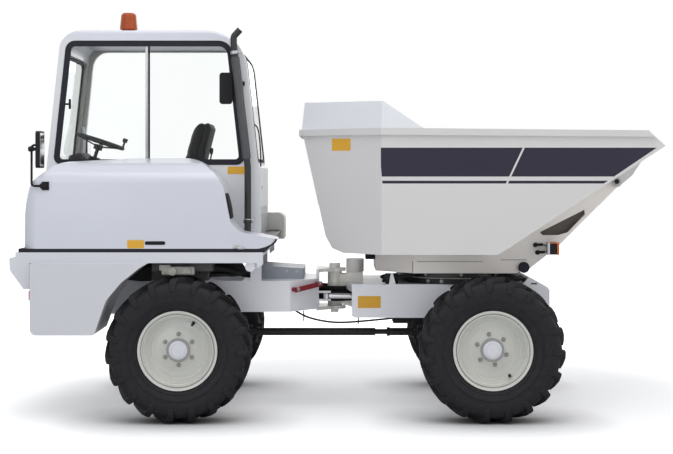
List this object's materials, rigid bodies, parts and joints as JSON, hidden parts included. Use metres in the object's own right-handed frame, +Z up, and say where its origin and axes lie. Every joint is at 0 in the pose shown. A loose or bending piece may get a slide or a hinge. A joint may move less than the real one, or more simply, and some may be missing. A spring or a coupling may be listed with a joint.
{
  "type": "articulated site dumper with cab and swivel skip",
  "caption": "Articulated four-wheel site dumper: rear chassis with cab, engine hood and tanks, hinged front chassis, slewing frame and a tipping skip",
  "frame": {"origin": "on the ground below the middle of the machine's length and width", "axes": "+X forward towards the skip, +Y to the machine's left, +Z up"},
  "size_m": [4.612, 1.95, 2.963],
  "materials": {
    "chassis_paint": "gloss paint",
    "hood_paint": "gloss paint",
    "skip_paint": "gloss paint",
    "cab_paint": "gloss paint",
    "wheel_paint": "gloss paint",
    "lock_paint": "gloss paint",
    "axle_paint": "satin black",
    "cover_plastic": "moulded gloss",
    "grey_cover": "satin",
    "tyre": "matt",
    "rubber": "matt",
    "glass": "clear",
    "black_plastic": "matt",
    "seat_cover": "vinyl",
    "red_lens": "lens",
    "amber_lens": "lens",
    "black_steel": "satin black",
    "steel": "turned",
    "rod_chrome": "polished",
    "engine_iron": "painted casting"
  },
  "bodies": {
    "rear_chassis": {"rear_frame": "chassis_paint", "deck_frame": "chassis_paint", "rear_bumper": "chassis_paint", "tail_lamps": "red_lens", "side_tanks": "cover_plastic", "engine_hood": "hood_paint", "left_cover": "cover_plastic", "cab_platform": "black_steel", "rubber_edge": "rubber", "engine": "engine_iron", "cab_shell": "cab_paint", "cab_roof": "cover_plastic", "cab_glass": "glass", "window_seals": "rubber", "seat": "seat_cover", "control_console": "black_plastic", "dashboard": "black_plastic", "steering_wheel": "black_plastic", "exhaust": "black_steel", "beacon": "amber_lens", "mirrors": "black_plastic", "lock_bar": "lock_paint", "valve_cover": "grey_cover", "rear_axle": "axle_paint"},
    "front_chassis": {"front_frame": "chassis_paint", "front_axle": "axle_paint", "slew_ring": "black_steel"},
    "swivel_base": {"swivel_frame": "chassis_paint", "work_lamps": "black_plastic", "rubber_buffers": "rubber"},
    "skip_body": {"skip": "skip_paint"},
    "rear_shaft": {"prop_shaft_rear": "black_steel"},
    "front_shaft": {"prop_shaft_front": "black_steel"},
    "steer_barrel_body": {"steer_barrel": "black_steel"},
    "steer_rod_body": {"steer_rod": "rod_chrome"},
    "tip_barrel_body": {"tip_barrel": "black_steel"},
    "tip_rod_body": {"tip_rod": "rod_chrome"},
    "rear_left_wheel": {"rear_left_tyre": "tyre", "rear_left_rim": "wheel_paint"},
    "rear_right_wheel": {"rear_right_tyre": "tyre", "rear_right_rim": "wheel_paint"},
    "front_left_wheel": {"front_left_tyre": "tyre", "front_left_rim": "wheel_paint"},
    "front_right_wheel": {"front_right_tyre": "tyre", "front_right_rim": "wheel_paint"}
  },
  "joints": [
    {"name": "articulation", "type": "hinge", "parent": "rear_chassis", "child": "front_chassis", "pos_m": [-0.02, 0, 0.875], "axis": [0, 0, 1], "range_deg": [-35, 35]},
    {"name": "skip_swivel", "type": "hinge", "parent": "front_chassis", "child": "swivel_base", "pos_m": [0.923, 0, 0.984], "axis": [0, 0, 1], "range_deg": [-90, 90]},
    {"name": "skip_tip", "type": "hinge", "parent": "swivel_base", "child": "skip_body", "pos_m": [2.029, 0, 1.696], "axis": [0, 1, 0], "range_deg": [0, 70]},
    {"name": "rear_left_spin", "type": "hinge", "parent": "rear_chassis", "child": "rear_left_wheel", "pos_m": [-1.12, 0.81, 0.5125], "axis": [0, 1, 0], "continuous": true},
    {"name": "rear_right_spin", "type": "hinge", "parent": "rear_chassis", "child": "rear_right_wheel", "pos_m": [-1.12, -0.81, 0.5125], "axis": [0, 1, 0], "continuous": true},
    {"name": "front_left_spin", "type": "hinge", "parent": "front_chassis", "child": "front_left_wheel", "pos_m": [1.09, 0.81, 0.5125], "axis": [0, 1, 0], "continuous": true},
    {"name": "front_right_spin", "type": "hinge", "parent": "front_chassis", "child": "front_right_wheel", "pos_m": [1.09, -0.81, 0.5125], "axis": [0, 1, 0], "continuous": true},
    {"name": "rear_shaft_yaw", "type": "hinge", "parent": "rear_chassis", "child": "rear_shaft", "pos_m": [-0.67, 0, 0.537], "axis": [0, 0, 1], "range_deg": [-17.5, 17.5]},
    {"name": "front_shaft_yaw", "type": "hinge", "parent": "front_chassis", "child": "front_shaft", "pos_m": [0.63, 0, 0.537], "axis": [0, 0, 1], "range_deg": [-17.5, 17.5]},
    {"name": "steer_barrel_yaw", "type": "hinge", "parent": "front_chassis", "child": "steer_barrel_body", "pos_m": [0.43, -0.2, 0.83], "axis": [0, 0, -1], "range_deg": [-4.03, 4.03]},
    {"name": "steer_rod_slide", "type": "slide", "parent": "steer_barrel_body", "child": "steer_rod_body", "axis": [-1, 0, 0], "range_m": [-0.11912, 0.11912]},
    {"name": "tip_barrel_lift", "type": "hinge", "parent": "swivel_base", "child": "tip_barrel_body", "pos_m": [1.357, 0, 1.078], "axis": [0, -1, 0], "range_deg": [0, 14.18]},
    {"name": "tip_rod_slide", "type": "slide", "parent": "tip_barrel_body", "child": "tip_rod_body", "axis": [0.722, 0, 0.6919], "range_m": [0, 0.15638]}
  ],
  "couplings": [
    {"joint": "rear_shaft_yaw", "follows": "articulation", "ratio": 0.5},
    {"joint": "front_shaft_yaw", "follows": "articulation", "ratio": -0.5},
    {"joint": "steer_barrel_yaw", "follows": "articulation", "ratio": 0.115},
    {"joint": "steer_rod_slide", "follows": "articulation", "m_per_rad": 0.195},
    {"joint": "tip_barrel_lift", "follows": "skip_tip", "ratio": 0.2025},
    {"joint": "tip_rod_slide", "follows": "skip_tip", "m_per_rad": 0.128}
  ]
}
